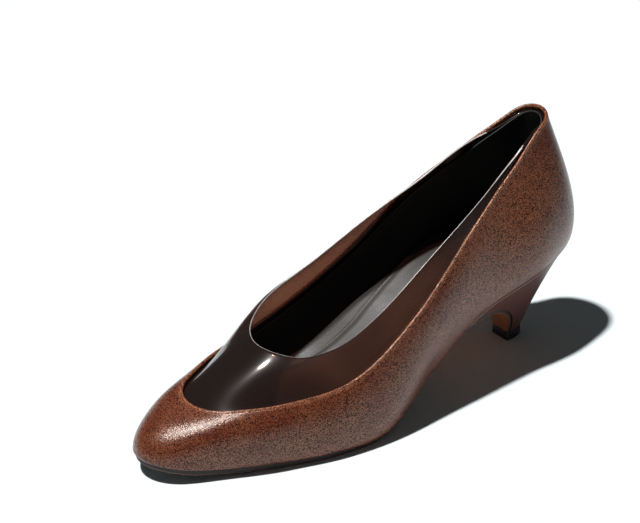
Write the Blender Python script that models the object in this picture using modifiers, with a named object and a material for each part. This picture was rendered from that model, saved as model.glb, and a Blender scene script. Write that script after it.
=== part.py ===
"""Mid heel pump, left shoe, modelled as the six pieces that a maker puts together.

The tables are in millimetres, measured from the back of the heel seat on the floor: X runs to the
toe, Y to the outer side of the foot and Z up. Every piece hangs on one empty, which puts the
origin on the floor under the middle of the shoe.
"""
import math
from collections import namedtuple

import bmesh
import bpy
import numpy as np

OBJECT_NAME = "mid_heel_pump"
MM = 0.001

# Driving dimensions in millimetres
GAP = 0.3
LEATHER_WALL = 1.6
FILM_WALL = 0.9
FILM_LAP = 6.0
LASTING_MARGIN = 7.0
LASTING_CORNER = 1.0
INSOLE_THICKNESS = 2.0
INSOLE_INSET = 2.6
INSOLE_LIFT = 2.2
TOP_PIECE_HEIGHT = 4.5
HEEL_RIM_INSET = 0.8
HEEL_BACK_HOLLOW = 0.4
HEEL_SIDE_HOLLOW = 0.8
SEAT_FRONT = 77.0
OUTSOLE_EDGE_BEVEL = 0.6

# Share of a line's length from which it swings to the inner side, towards the toe
SWING_START = 0.55

# Fineness of the faceted solids
AROUND = 80
LEATHER_ROWS = 10
LAP_ROWS = 2
FILM_ROWS = 6
HEEL_SIDE_POINTS = 16
HEEL_LEVELS = 6
BREAST_STEPS = 14
TOE_END_ANGLE = 0.02
SHARP_DEGREES = 35.0

# A line round the shoe: where it starts and ends, how round its ends are, and its stations
Line = namedtuple("Line", "back front back_radius front_radius swing back_height front_height stations")
Station = namedtuple("Station", "along outer inner outer_height inner_height")

# Where the upper meets the sole
SOLE_LINE = Line(
    back=1.2, front=239.2, back_radius=25.0, front_radius=14.0, swing=-6.6,
    back_height=52.0, front_height=9.7,
    stations=(
        Station(along=0.05, outer=19.5, inner=16.9, outer_height=49.7, inner_height=49.7),
        Station(along=0.15, outer=26.6, inner=23.4, outer_height=45.1, inner_height=45.1),
        Station(along=0.28, outer=26.6, inner=22.0, outer_height=37.3, inner_height=37.3),
        Station(along=0.42, outer=29.9, inner=19.2, outer_height=20.2, inner_height=20.2),
        Station(along=0.56, outer=37.7, inner=26.9, outer_height=3.4, inner_height=3.4),
        Station(along=0.68, outer=36.1, inner=35.5, outer_height=2.9, inner_height=2.9),
        Station(along=0.80, outer=27.8, inner=30.2, outer_height=3.5, inner_height=3.5),
        Station(along=0.91, outer=19.2, inner=22.9, outer_height=5.5, inner_height=5.5),
    ),
)

# The folded top edge of the leather
LEATHER_EDGE = Line(
    back=13.4, front=211.4, back_radius=11.4, front_radius=21.0, swing=-5.3,
    back_height=114.4, front_height=28.5,
    stations=(
        Station(along=0.05, outer=11.0, inner=10.5, outer_height=110.6, inner_height=110.6),
        Station(along=0.15, outer=16.7, inner=16.8, outer_height=99.2, inner_height=99.2),
        Station(along=0.30, outer=24.5, inner=23.7, outer_height=82.6, inner_height=82.6),
        Station(along=0.50, outer=31.7, inner=30.5, outer_height=53.8, inner_height=53.8),
        Station(along=0.70, outer=33.9, inner=34.6, outer_height=34.4, inner_height=34.4),
        Station(along=0.86, outer=26.4, inner=27.1, outer_height=30.7, inner_height=30.7),
        Station(along=0.95, outer=17.8, inner=17.4, outer_height=29.8, inner_height=29.8),
    ),
)

# The cut rim of the see-through inset, round the collar and the throat
FILM_RIM = Line(
    back=16.6, front=176.7, back_radius=12.2, front_radius=17.0, swing=-0.7,
    back_height=115.6, front_height=47.0,
    stations=(
        Station(along=0.05, outer=10.8, inner=10.1, outer_height=111.8, inner_height=112.6),
        Station(along=0.15, outer=14.1, inner=14.5, outer_height=102.5, inner_height=104.6),
        Station(along=0.30, outer=17.7, inner=17.5, outer_height=89.3, inner_height=91.2),
        Station(along=0.50, outer=20.4, inner=22.7, outer_height=71.4, inner_height=76.4),
        Station(along=0.70, outer=23.0, inner=27.3, outer_height=54.5, inner_height=60.1),
        Station(along=0.86, outer=22.5, inner=27.6, outer_height=46.5, inner_height=49.2),
        Station(along=0.95, outer=15.6, inner=17.6, outer_height=45.2, inner_height=46.2),
    ),
)

# How the wall leaves the sole (flare, outward), comes to the leather edge and to the rim (leans,
# inward), in degrees, and how far each of its two bends reaches as a share of the wall's height
Wall = namedtuple("Wall", "along flare edge_lean rim_lean low_reach high_reach")
WALL_BENDS = (
    Wall(along=0.00, flare=15.0, edge_lean=17.0, rim_lean=14.0, low_reach=0.29, high_reach=0.31),
    Wall(along=0.15, flare=21.0, edge_lean=19.0, rim_lean=20.0, low_reach=0.33, high_reach=0.33),
    Wall(along=0.40, flare=15.0, edge_lean=22.5, rim_lean=32.0, low_reach=0.33, high_reach=0.33),
    Wall(along=0.65, flare=15.0, edge_lean=21.0, rim_lean=45.0, low_reach=0.33, high_reach=0.32),
    Wall(along=0.85, flare=16.0, edge_lean=46.5, rim_lean=60.0, low_reach=0.37, high_reach=0.43),
    Wall(along=1.00, flare=0.0, edge_lean=78.0, rim_lean=62.0, low_reach=0.33, high_reach=0.44),
)
FILM_REACH = 0.33

# Outsole from the front of the heel to the toe: height of its lower face and how far its edge sits
# inside the sole line
Tread = namedtuple("Tread", "x lower inset")
OUTSOLE = (
    Tread(x=79.0, lower=29.4, inset=2.0),
    Tread(x=104.0, lower=16.6, inset=3.4),
    Tread(x=122.0, lower=7.0, inset=2.6),
    Tread(x=133.0, lower=1.5, inset=1.7),
    Tread(x=141.0, lower=0.0, inset=1.3),
    Tread(x=186.0, lower=0.0, inset=1.2),
    Tread(x=204.0, lower=0.9, inset=1.2),
    Tread(x=222.0, lower=3.2, inset=1.2),
    Tread(x=238.0, lower=7.2, inset=1.2),
)

# Outer face of the outsole's flap down the front of the heel, seen from the side, as a Bezier curve,
# with the flap's thickness and half widths along it
BREAST = np.array([(79.0, 29.4), (66.8, 33.0), (38.1, 25.9), (36.9, 4.8)])
Flap = namedtuple("Flap", "at thick outer inner")
FLAP = (
    Flap(at=0.00, thick=2.4, outer=25.1, inner=19.0),
    Flap(at=0.25, thick=2.1, outer=22.4, inner=18.0),
    Flap(at=0.50, thick=1.9, outer=17.4, inner=14.8),
    Flap(at=0.75, thick=1.7, outer=11.8, inner=10.8),
    Flap(at=1.00, thick=1.5, outer=5.4, inner=5.4),
)

# Foot of the heel, a flat front with a round back
TIP_FRONT = 36.9
TIP_BACK = 25.2
TIP_HALF_WIDTH = 5.4
TIP_STRAIGHT = 2.5
TIP_ROUND_SHARE = 0.6

# Block that cuts the hollow front of the heel, in front of the flap's back
CUTTER_FRONT = 130.0
CUTTER_BOTTOM = -10.0
CUTTER_HALF_WIDTH = 60.0

# Plain material of each piece
Finish = namedtuple("Finish", "node material colour roughness")
FINISHES = (
    Finish(node="upper", material="pebbled_leather", colour=(0.19, 0.065, 0.034), roughness=0.42),
    Finish(node="vinyl_inset", material="smoked_vinyl", colour=(0.055, 0.028, 0.020), roughness=0.08),
    Finish(node="insole", material="black_sock_leather", colour=(0.020, 0.019, 0.019), roughness=0.55),
    Finish(node="outsole", material="sole_leather", colour=(0.035, 0.022, 0.020), roughness=0.50),
    Finish(node="heel", material="heel_cover_leather", colour=(0.075, 0.027, 0.020), roughness=0.45),
    Finish(node="top_piece", material="black_rubber", colour=(0.012, 0.012, 0.012), roughness=0.60),
)


def smooth(stations, values, at):
    """Value at the places asked for, on a smooth curve through the stations."""
    stations = np.asarray(stations, float)
    values = np.asarray(values, float)
    slopes = np.gradient(values, stations)
    left = np.clip(np.searchsorted(stations, at) - 1, 0, len(stations) - 2)
    step = stations[left + 1] - stations[left]
    w = (at - stations[left]) / step
    start = (1 + 2 * w) * (1 - w) ** 2 * values[left] + w * (1 - w) ** 2 * step * slopes[left]
    end = w * w * (3 - 2 * w) * values[left + 1] + w * w * (w - 1) * step * slopes[left + 1]
    return start + end


def column(rows, name):
    """One named column of a table."""
    return [getattr(row, name) for row in rows]


def turn_angles(count):
    """Angles round the shoe: 0 at the heel's back, half a turn at the toe, outer side first."""
    return np.arange(count) * 2 * math.pi / count


def line_points(line, angles):
    """Points of a line round the shoe. Equal angles on the two sides lie at the same X."""
    share = (1 - np.cos(angles)) / 2
    length = line.front - line.back
    along = np.array(column(line.stations, "along"))
    swell = 2 * np.sqrt(along * (1 - along))
    places = np.r_[0, along, 1]
    back_width = math.sqrt(line.back_radius * length / 2)
    front_width = math.sqrt(line.front_radius * length / 2)
    sides = {}
    heights = {}
    for side in ("outer", "inner"):
        widths = np.array(column(line.stations, side)) / swell
        sides[side] = smooth(places, np.r_[back_width, widths, front_width], share) * np.sin(angles)
        levels = column(line.stations, side + "_height")
        heights[side] = smooth(places, np.r_[line.back_height, levels, line.front_height], share)
    on_outer = np.sin(angles) >= 0
    y = np.where(on_outer, sides["outer"], sides["inner"])
    y = y + line.swing * np.clip((share - SWING_START) / (1 - SWING_START), 0, 1) ** 2
    z = np.where(on_outer, heights["outer"], heights["inner"])
    return np.stack([line.back + length * share, y, z], axis=-1)


def plan_normals(points):
    """Outward normals of a closed line, seen from above."""
    tangent = np.roll(points, -1, axis=0) - np.roll(points, 1, axis=0)
    normals = np.stack([-tangent[:, 1], tangent[:, 0], 0 * tangent[:, 0]], axis=-1)
    normals /= np.linalg.norm(normals, axis=1, keepdims=True)
    outward = np.sum((points - points.mean(axis=0)) * normals) > 0
    return normals if outward else -normals


def bezier(points, at):
    """Points of a cubic Bezier curve. Each of its four control points may be a whole line."""
    at = np.asarray(at).reshape((-1,) + (1,) * np.ndim(points[0]))
    weights = ((1 - at) ** 3, 3 * at * (1 - at) ** 2, 3 * at ** 2 * (1 - at), at ** 3)
    return sum(weight * point for weight, point in zip(weights, points))


def leaning(normals, degrees, outward):
    """Directions that rise from the floor and lean outward or inward by an angle."""
    angle = np.radians(degrees)[:, None]
    return np.array([0, 0, 1]) * np.cos(angle) + outward * normals * np.sin(angle)


def lengths(vectors):
    """Length of each vector, as a column."""
    return np.linalg.norm(vectors, axis=1, keepdims=True)


def bend(angles, name):
    """One column of the wall's bends, at each angle round the shoe."""
    return smooth(column(WALL_BENDS, "along"), column(WALL_BENDS, name), (1 - np.cos(angles)) / 2)


def bend_arm(chord, normals, direction, reach):
    """Arm of a wall's bend: its direction, with the chord's own slide along the shoe."""
    side = np.stack([-normals[:, 1], normals[:, 0], 0 * normals[:, 0]], axis=-1)
    slide = np.sum(chord * side, axis=1, keepdims=True) * side
    climb = lengths(chord - slide)
    return np.reshape(reach, (-1, 1)) * (climb * direction + slide)


def wall_rows(angles):
    """Outer face of the leather wall, as rows of points from the sole line to the leather edge."""
    sole = line_points(SOLE_LINE, angles)
    edge = line_points(LEATHER_EDGE, angles)
    sole_normals = plan_normals(sole)
    edge_normals = plan_normals(edge)
    rise = leaning(sole_normals, bend(angles, "flare"), 1)
    arrive = leaning(edge_normals, bend(angles, "edge_lean"), -1)
    low = sole + bend_arm(edge - sole, sole_normals, rise, bend(angles, "low_reach"))
    high = edge - bend_arm(edge - sole, edge_normals, arrive, bend(angles, "high_reach"))
    return bezier((sole, low, high, edge), np.linspace(0, 1, LEATHER_ROWS + 1))


def upper_rows(angles):
    """Outer face of the whole upper: the margin lasted under the foot, a small corner, the wall."""
    wall = wall_rows(angles)
    margin = [inset_sole_line(angles, inset) for inset in (LASTING_MARGIN, LASTING_CORNER)]
    corner = wall[0] + (wall[1] - wall[0]) * LASTING_CORNER / lengths(wall[1] - wall[0])
    return np.concatenate([margin, [corner], wall[1:]])


def inside(rows, distance):
    """The same rows moved inward along the normals of their surface."""
    around = np.roll(rows, -1, axis=1) - np.roll(rows, 1, axis=1)
    upward = np.gradient(rows, axis=0)
    normals = np.cross(around, upward)
    normals /= np.linalg.norm(normals, axis=2, keepdims=True)
    middle = rows.mean(axis=(0, 1))
    if np.sum((rows - middle) * normals) < 0:
        normals = -normals
    return rows - distance * normals


def below_edge(rows, distance):
    """Points at a distance down the surface of the rows from their last row."""
    down = rows[::-1]
    steps = np.linalg.norm(np.diff(down, axis=0), axis=2)
    run = np.cumsum(np.concatenate([np.zeros_like(steps[:1]), steps]), axis=0)
    points = np.empty_like(down[0])
    for k in range(len(points)):
        for axis in range(3):
            points[k, axis] = np.interp(distance, run[:, k], down[:, k, axis])
    return points


def film_rows(angles):
    """Outer face of the inset: a lap behind the leather, then up to the cut rim."""
    behind = inside(wall_rows(angles), LEATHER_WALL + GAP)
    edge = behind[-1]
    lap_rows = [below_edge(behind, FILM_LAP * (1 - row / LAP_ROWS)) for row in range(LAP_ROWS)]
    rim = line_points(FILM_RIM, angles)
    edge_normals = plan_normals(edge)
    rim_normals = plan_normals(rim)
    leave = leaning(edge_normals, bend(angles, "edge_lean"), -1)
    arrive = leaning(rim_normals, bend(angles, "rim_lean"), -1)
    low = edge + bend_arm(rim - edge, edge_normals, leave, FILM_REACH)
    high = rim - bend_arm(rim - edge, rim_normals, arrive, FILM_REACH)
    free_rows = bezier((edge, low, high, rim), np.linspace(0, 1, FILM_ROWS + 1))
    return np.concatenate([lap_rows, free_rows])


def seat_height(x):
    """Height of the sole line at a distance from the back."""
    line = SOLE_LINE
    share = (x - line.back) / (line.front - line.back)
    places = np.r_[0, column(line.stations, "along"), 1]
    levels = np.r_[line.back_height, column(line.stations, "outer_height"), line.front_height]
    return smooth(places, levels, np.clip(share, 0, 1))


def inset_sole_line(angles, inset):
    """The sole line moved inward in plan, still on the bottom of the foot."""
    points = line_points(SOLE_LINE, angles)
    points = points - np.reshape(inset, (-1, 1)) * plan_normals(points)
    points[:, 2] = seat_height(points[:, 0])
    return points


def angle_at(x):
    """Angle round the sole line at a distance from the back, on the outer side."""
    share = (x - SOLE_LINE.back) / (SOLE_LINE.front - SOLE_LINE.back)
    return math.acos(1 - 2 * share)


def add_object(name, bm, collection):
    """Object from a finished bmesh in millimetres, with smooth shading between sharp edges."""
    bmesh.ops.recalc_face_normals(bm, faces=bm.faces)
    bmesh.ops.scale(bm, vec=(MM, MM, MM), verts=bm.verts)
    mesh = bpy.data.meshes.new(name)
    bm.to_mesh(mesh)
    bm.free()
    mesh.shade_smooth()
    mesh.set_sharp_from_angle(angle=math.radians(SHARP_DEGREES))
    piece = bpy.data.objects.new(name, mesh)
    collection.objects.link(piece)
    return piece


def add_rings(bm, rings):
    """Faces between each closed ring of points and the next. Returns the rings as vertices."""
    layers = [[bm.verts.new(point) for point in ring] for ring in rings]
    count = len(layers[0])
    for lower, upper in zip(layers, layers[1:]):
        for k in range(count):
            n = (k + 1) % count
            bm.faces.new((lower[k], lower[n], upper[n], upper[k]))
    return layers


def fill_across(bm, ring):
    """Strips across a ring that starts at its back, between its outer and its inner side."""
    count = len(ring)
    half = count // 2
    for k in range(half):
        corners = (ring[k], ring[k + 1], ring[(count - k - 1) % count], ring[(count - k) % count])
        face = list(dict.fromkeys(corners))
        if len(face) > 2:
            bm.faces.new(face)


def add_solidify(piece, thickness, side):
    """Gives an open surface its thickness, along its normals (side 1) or against them (side -1)."""
    solidify = piece.modifiers.new("thickness", "SOLIDIFY")
    solidify.thickness = thickness * MM
    solidify.offset = side
    solidify.use_even_offset = True
    solidify.use_quality_normals = True


def make_shell(name, rows, thickness, collection):
    """Hollow shell round the foot, open above and below."""
    bm = bmesh.new()
    add_rings(bm, rows)
    piece = add_object(name, bm, collection)
    add_solidify(piece, thickness, -1)
    return piece


def make_insole(collection):
    """Board and sock inside the upper, on its lasted margin, following the bottom of the foot."""
    bm = bmesh.new()
    ring = inset_sole_line(turn_angles(AROUND), INSOLE_INSET)
    ring[:, 2] += INSOLE_LIFT
    fill_across(bm, [bm.verts.new(point) for point in ring])
    piece = add_object("insole", bm, collection)
    if piece.data.polygons[AROUND // 4].normal.z < 0:
        piece.data.flip_normals()
    add_solidify(piece, INSOLE_THICKNESS, 1)
    return piece


def towards(start, end, distance):
    """Point at a distance from the start, on the way to the end."""
    return start + (end - start) * distance / np.linalg.norm(end - start)


def sole_section(outer_top, inner_top, outer_low, inner_low):
    """Six corners of one section of the outsole, its lower corners bevelled."""
    return [
        outer_top,
        towards(outer_low, outer_top, OUTSOLE_EDGE_BEVEL),
        towards(outer_low, inner_low, OUTSOLE_EDGE_BEVEL),
        towards(inner_low, outer_low, OUTSOLE_EDGE_BEVEL),
        towards(inner_low, inner_top, OUTSOLE_EDGE_BEVEL),
        inner_top,
    ]


def breast_path(clearance):
    """Points down the flap's outer face, seen from the side, and down its back with a clearance."""
    at = np.linspace(0, 1, BREAST_STEPS + 1)
    points = bezier(BREAST, at)
    tangent = np.gradient(points, axis=0)
    tangent /= np.linalg.norm(tangent, axis=1, keepdims=True)
    normals = np.stack([tangent[:, 1], -tangent[:, 0]], axis=-1)
    thick = np.interp(at, column(FLAP, "at"), column(FLAP, "thick"))[:, None]
    return points, points + normals * (thick + clearance)


def cut_ring(angles, cut_angle):
    """Points of part of the sole line and their outward normals, square to the shoe at its cut."""
    points = line_points(SOLE_LINE, angles)
    normals = plan_normals(points)
    at_cut = np.isclose(np.abs(angles), cut_angle)
    normals[at_cut] = np.array([0, 1, 0]) * np.sign(points[at_cut][:, 1:2])
    return points, normals


def tread_sections():
    """Sections of the outsole from the toe back to the front of the heel."""
    breast_angle = angle_at(OUTSOLE[0].x)
    angles = turn_angles(AROUND)
    middle = angles[(angles > breast_angle) & (angles < math.pi)][::-1]
    toe_first = np.r_[math.pi - TOE_END_ANGLE, middle, breast_angle]
    points, normals = cut_ring(np.r_[toe_first, -toe_first[::-1]], breast_angle)
    places = column(OUTSOLE, "x")
    inset = np.interp(points[:, 0], places, column(OUTSOLE, "inset"))
    points = points - inset[:, None] * normals
    lower = np.interp(points[:, 0], places, column(OUTSOLE, "lower"))
    top = np.column_stack([points[:, :2], seat_height(points[:, 0]) - GAP])
    low = np.column_stack([points[:, :2], lower])
    return [sole_section(top[k], top[-1 - k], low[k], low[-1 - k]) for k in range(len(toe_first))]


def make_outsole(collection):
    """Thin sole that runs from the toe through the waist and down the front of the heel."""
    rings = tread_sections()
    points, backs = breast_path(0)
    along = np.linspace(0, 1, len(points))
    outer = smooth(column(FLAP, "at"), column(FLAP, "outer"), along)
    inner = -smooth(column(FLAP, "at"), column(FLAP, "inner"), along)
    for k in range(1, len(points)):
        corners = []
        for x, z in (backs[k], points[k]):
            corners.extend([np.array([x, outer[k], z]), np.array([x, inner[k], z])])
        rings.append(sole_section(*corners))
    bm = bmesh.new()
    layers = add_rings(bm, rings)
    bm.faces.new(layers[0])
    bm.faces.new(layers[-1])
    return add_object("outsole", bm, collection)


def tip_outline():
    """Foot of the heel: back point, outer side to the front, then the inner side back."""
    share = np.linspace(0, 1, HEEL_SIDE_POINTS + 1)
    straight_start = TIP_FRONT - TIP_STRAIGHT
    quarter = np.clip(share / TIP_ROUND_SHARE, 0, 1) * math.pi / 2
    forward = np.clip((share - TIP_ROUND_SHARE) / (1 - TIP_ROUND_SHARE), 0, 1)
    x = straight_start - (straight_start - TIP_BACK) * np.cos(quarter) + TIP_STRAIGHT * forward
    y = TIP_HALF_WIDTH * np.sin(quarter)
    outer = np.stack([x, y], axis=-1)
    inner = np.stack([x, -y], axis=-1)
    return np.concatenate([outer, inner[:0:-1]])


def add_breast_cutter(collection):
    """Block in front of the heel whose upper face is the back of the flap, with its gap."""
    curve = breast_path(GAP)[1]
    front = [(CUTTER_FRONT, CUTTER_BOTTOM), (CUTTER_FRONT, curve[0][1])]
    outline = [*front, *curve, (curve[-1][0], CUTTER_BOTTOM)]
    bm = bmesh.new()
    face = bm.faces.new([bm.verts.new((x, -CUTTER_HALF_WIDTH, z)) for x, z in outline])
    extruded = bmesh.ops.extrude_face_region(bm, geom=[face])
    moved = [item for item in extruded["geom"] if isinstance(item, bmesh.types.BMVert)]
    bmesh.ops.translate(bm, vec=(0, 2 * CUTTER_HALF_WIDTH, 0), verts=moved)
    cutter = add_object("breast_cutter", bm, collection)
    cutter.hide_render = True
    cutter.display_type = "WIRE"
    return cutter


def make_heel(collection, cutters):
    """Raked heel: from the seat under the foot straight down to its small foot, breast cut hollow."""
    angles = np.linspace(0, angle_at(SEAT_FRONT), HEEL_SIDE_POINTS + 1)
    rim, normals = cut_ring(np.r_[angles, -angles[:0:-1]], angles[-1])
    seat = rim - HEEL_RIM_INSET * normals
    seat[:, 2] = seat_height(seat[:, 0]) - GAP
    foot = tip_outline()
    foot = np.column_stack([foot, np.full(len(foot), TOP_PIECE_HEIGHT + GAP)])
    hollow = HEEL_BACK_HOLLOW * np.abs(normals[:, :1]) + HEEL_SIDE_HOLLOW * np.abs(normals[:, 1:2])
    rings = []
    for level in np.linspace(0, 1, HEEL_LEVELS + 1):
        rings.append(seat + (foot - seat) * level - 4 * level * (1 - level) * hollow * normals)
    bm = bmesh.new()
    layers = add_rings(bm, rings)
    fill_across(bm, layers[0])
    bm.faces.new(layers[-1])
    heel = add_object("heel", bm, collection)
    cut = heel.modifiers.new("breast", "BOOLEAN")
    cut.operation = "DIFFERENCE"
    cut.solver = "EXACT"
    cut.object = add_breast_cutter(cutters)
    return heel


def make_top_piece(collection):
    """Rubber foot under the heel, flat on the floor."""
    bm = bmesh.new()
    outline = tip_outline()
    rings = [np.column_stack([outline, np.full(len(outline), z)]) for z in (0.0, TOP_PIECE_HEIGHT)]
    layers = add_rings(bm, rings)
    for layer in layers:
        bm.faces.new(layer)
    return add_object("top_piece", bm, collection)


def add_material(piece, finish):
    """Plain material of a piece."""
    material = bpy.data.materials.new(finish.material)
    material.use_nodes = True
    shader = material.node_tree.nodes["Principled BSDF"]
    shader.inputs["Base Color"].default_value = (*finish.colour, 1)
    shader.inputs["Roughness"].default_value = finish.roughness
    shader.inputs["Metallic"].default_value = 0.0
    piece.data.materials.append(material)


def place_on_floor(pieces):
    """How far the pieces move to put the origin on the floor under the middle of their box."""
    bpy.context.view_layer.update()
    graph = bpy.context.evaluated_depsgraph_get()
    corners = []
    for piece in pieces:
        mesh = piece.evaluated_get(graph).to_mesh()
        corners.extend(piece.matrix_world @ vertex.co for vertex in mesh.vertices)
    corners = np.array(corners)
    low = corners.min(axis=0)
    high = corners.max(axis=0)
    return (-(low[0] + high[0]) / 2, -(low[1] + high[1]) / 2, -low[2])


def main():
    for leftover in list(bpy.data.objects):
        bpy.data.objects.remove(leftover, do_unlink=True)
    shoe = bpy.data.collections.new(OBJECT_NAME)
    cutters = bpy.data.collections.new("cutters")
    for collection in (shoe, cutters):
        bpy.context.scene.collection.children.link(collection)

    angles = turn_angles(AROUND)
    pieces = (
        make_shell("upper", upper_rows(angles), LEATHER_WALL, shoe),
        make_shell("vinyl_inset", film_rows(angles), FILM_WALL, shoe),
        make_insole(shoe),
        make_outsole(shoe),
        make_heel(shoe, cutters),
        make_top_piece(shoe),
    )
    finishes = {finish.node: finish for finish in FINISHES}
    for piece in pieces:
        add_material(piece, finishes[piece.name])

    frame = bpy.data.objects.new("shoe_frame", None)
    shoe.objects.link(frame)
    frame.location = place_on_floor(pieces)
    for piece in (*pieces, *cutters.objects):
        piece.parent = frame


main()
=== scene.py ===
"""Looks of the mid heel pump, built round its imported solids: upper, inset, lining, sock, sole and heel."""
import math
from collections import namedtuple

import bmesh
import bpy
import numpy as np
from bpy.props import FloatProperty, FloatVectorProperty, PointerProperty
from mathutils import Matrix, Quaternion, Vector


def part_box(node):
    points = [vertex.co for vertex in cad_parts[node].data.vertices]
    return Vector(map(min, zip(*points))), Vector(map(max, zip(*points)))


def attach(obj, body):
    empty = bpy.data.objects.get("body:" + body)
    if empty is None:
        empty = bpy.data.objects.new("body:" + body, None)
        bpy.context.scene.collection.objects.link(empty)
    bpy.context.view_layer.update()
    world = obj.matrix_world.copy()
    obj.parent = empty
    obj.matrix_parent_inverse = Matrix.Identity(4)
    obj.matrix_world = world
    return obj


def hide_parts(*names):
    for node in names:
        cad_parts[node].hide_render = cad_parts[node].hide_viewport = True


bl_info = {
    "name": "Mid heel pump",
    "version": (1, 0, 0),
    "blender": (4, 5, 0),
    "location": "View3D > Sidebar > Pump",
    "description": "Builds the visible pieces of a leather pump with a see-through inset",
    "category": "Object",
}

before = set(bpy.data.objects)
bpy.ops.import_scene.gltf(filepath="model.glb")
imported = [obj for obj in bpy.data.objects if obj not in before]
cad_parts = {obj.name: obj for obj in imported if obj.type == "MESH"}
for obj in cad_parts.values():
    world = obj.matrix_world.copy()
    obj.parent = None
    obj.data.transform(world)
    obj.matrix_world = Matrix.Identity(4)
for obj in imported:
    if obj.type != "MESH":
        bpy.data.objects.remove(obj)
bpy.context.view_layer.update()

MM = 0.001
BODY = "root"

# The solids' own sizes in millimetres, which the visible pieces start from
GAP = 0.3
LEATHER_WALL = 1.6
FILM_WALL = 0.9
FILM_LAP = 6.0
LASTING_MARGIN = 7.0
INSOLE_THICKNESS = 2.0
INSOLE_INSET = 2.6
INSOLE_LIFT = 2.2
TOP_PIECE_HEIGHT = 4.5
HEEL_RIM_INSET = 0.8
HEEL_BACK_HOLLOW = 0.4
HEEL_SIDE_HOLLOW = 0.8
SEAT_FRONT = 77.0
OUTSOLE_EDGE_BEVEL = 0.6
SWING_START = 0.55
TOE_END_ANGLE = 0.02

Line = namedtuple("Line", "back front back_radius front_radius swing back_height front_height stations")
Station = namedtuple("Station", "along outer inner outer_height inner_height")


def level(along, outer, inner, height):
    """Station at one height on both sides of the shoe."""
    return Station(along, outer, inner, outer_height=height, inner_height=height)


# Where the upper meets the sole
SOLE_LINE = Line(
    back=1.2, front=239.2, back_radius=25.0, front_radius=14.0, swing=-6.6,
    back_height=52.0, front_height=9.7,
    stations=(
        level(along=0.05, outer=19.5, inner=16.9, height=49.7),
        level(along=0.15, outer=26.6, inner=23.4, height=45.1),
        level(along=0.28, outer=26.6, inner=22.0, height=37.3),
        level(along=0.42, outer=29.9, inner=19.2, height=20.2),
        level(along=0.56, outer=37.7, inner=26.9, height=3.4),
        level(along=0.68, outer=36.1, inner=35.5, height=2.9),
        level(along=0.80, outer=27.8, inner=30.2, height=3.5),
        level(along=0.91, outer=19.2, inner=22.9, height=5.5),
    ),
)

# The folded top edge of the leather
LEATHER_EDGE = Line(
    back=13.4, front=211.4, back_radius=11.4, front_radius=21.0, swing=-5.3,
    back_height=114.4, front_height=28.5,
    stations=(
        level(along=0.05, outer=11.0, inner=10.5, height=110.6),
        level(along=0.15, outer=16.7, inner=16.8, height=99.2),
        level(along=0.30, outer=24.5, inner=23.7, height=82.6),
        level(along=0.50, outer=31.7, inner=30.5, height=53.8),
        level(along=0.70, outer=33.9, inner=34.6, height=34.4),
        level(along=0.86, outer=26.4, inner=27.1, height=30.7),
        level(along=0.95, outer=17.8, inner=17.4, height=29.8),
    ),
)

# The cut rim of the see-through inset, round the collar and the throat
FILM_RIM = Line(
    back=16.6, front=176.7, back_radius=12.2, front_radius=17.0, swing=-0.7,
    back_height=115.6, front_height=47.0,
    stations=(
        Station(along=0.05, outer=10.8, inner=10.1, outer_height=111.8, inner_height=112.6),
        Station(along=0.15, outer=14.1, inner=14.5, outer_height=102.5, inner_height=104.6),
        Station(along=0.30, outer=17.7, inner=17.5, outer_height=89.3, inner_height=91.2),
        Station(along=0.50, outer=20.4, inner=22.7, outer_height=71.4, inner_height=76.4),
        Station(along=0.70, outer=23.0, inner=27.3, outer_height=54.5, inner_height=60.1),
        Station(along=0.86, outer=22.5, inner=27.6, outer_height=46.5, inner_height=49.2),
        Station(along=0.95, outer=15.6, inner=17.6, outer_height=45.2, inner_height=46.2),
    ),
)

# How the wall leaves the sole and comes to the leather edge, and how the film leaves that edge and
# comes to its rim, in degrees. Low and high are the shares of the wall's height that its two bends reach.
Wall = namedtuple("Wall", "along flare edge_lean film_lean rim_lean low high")
WALL_BENDS = (
    Wall(along=0.00, flare=15.0, edge_lean=17.0, film_lean=17.0, rim_lean=14.0, low=0.29, high=0.31),
    Wall(along=0.15, flare=21.0, edge_lean=19.0, film_lean=19.0, rim_lean=20.0, low=0.33, high=0.33),
    Wall(along=0.40, flare=15.0, edge_lean=22.5, film_lean=22.5, rim_lean=32.0, low=0.33, high=0.33),
    Wall(along=0.65, flare=15.0, edge_lean=21.0, film_lean=21.0, rim_lean=45.0, low=0.33, high=0.32),
    Wall(along=0.85, flare=16.0, edge_lean=46.5, film_lean=48.0, rim_lean=60.0, low=0.37, high=0.43),
    Wall(along=1.00, flare=0.0, edge_lean=78.0, film_lean=52.0, rim_lean=64.0, low=0.33, high=0.44),
)
FILM_REACH = 0.33

# At the back of the heel the film ends behind the leather; it comes out between these shares of the
# length on either side
Tuck = namedtuple("Tuck", "start end")
OUTER_TUCK = Tuck(start=0.0, end=0.12)
INNER_TUCK = Tuck(start=0.05, end=0.27)
TUCK_DEPTH = 3.6
TUCKED_HEIGHT = 1.5
FILM_RIM_ROUND = 0.28

# The film is flat along the quarters and takes up its bends between these shares of the length
FILM_STRAIGHT_END = 0.3
FILM_BENT_START = 0.6

# Share of the length by which the rim's points run ahead of the leather edge's at mid length, so that
# the film's rows cross it squarely
RIM_SHIFT = 0.09

# Rows below the upper's top edge, its swollen lip and the width of the stitches' groove, in millimetres
EDGE_ROWS = (0.5, 0.7, 0.9, 1.1, 1.3, 1.5, 1.7, 1.9, 2.2, 2.6, 3.2, 4.2, 5.5)
LIP_MIDDLE = 1.0
LIP_WIDTH = 0.9
GROOVE_WIDTH = 0.35

# Height of the thread's middle over the floor of the groove, and how far ahead on its line a stitch points
THREAD_PROUD = 0.08
STITCH_AIM = 0.4

# Rounding of the upper where it turns in over the sole, and shares of the way round it that rows follow
SOLE_CORNER = 1.2
CORNER_TURNS = (0.25, 0.5, 0.75)

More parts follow.
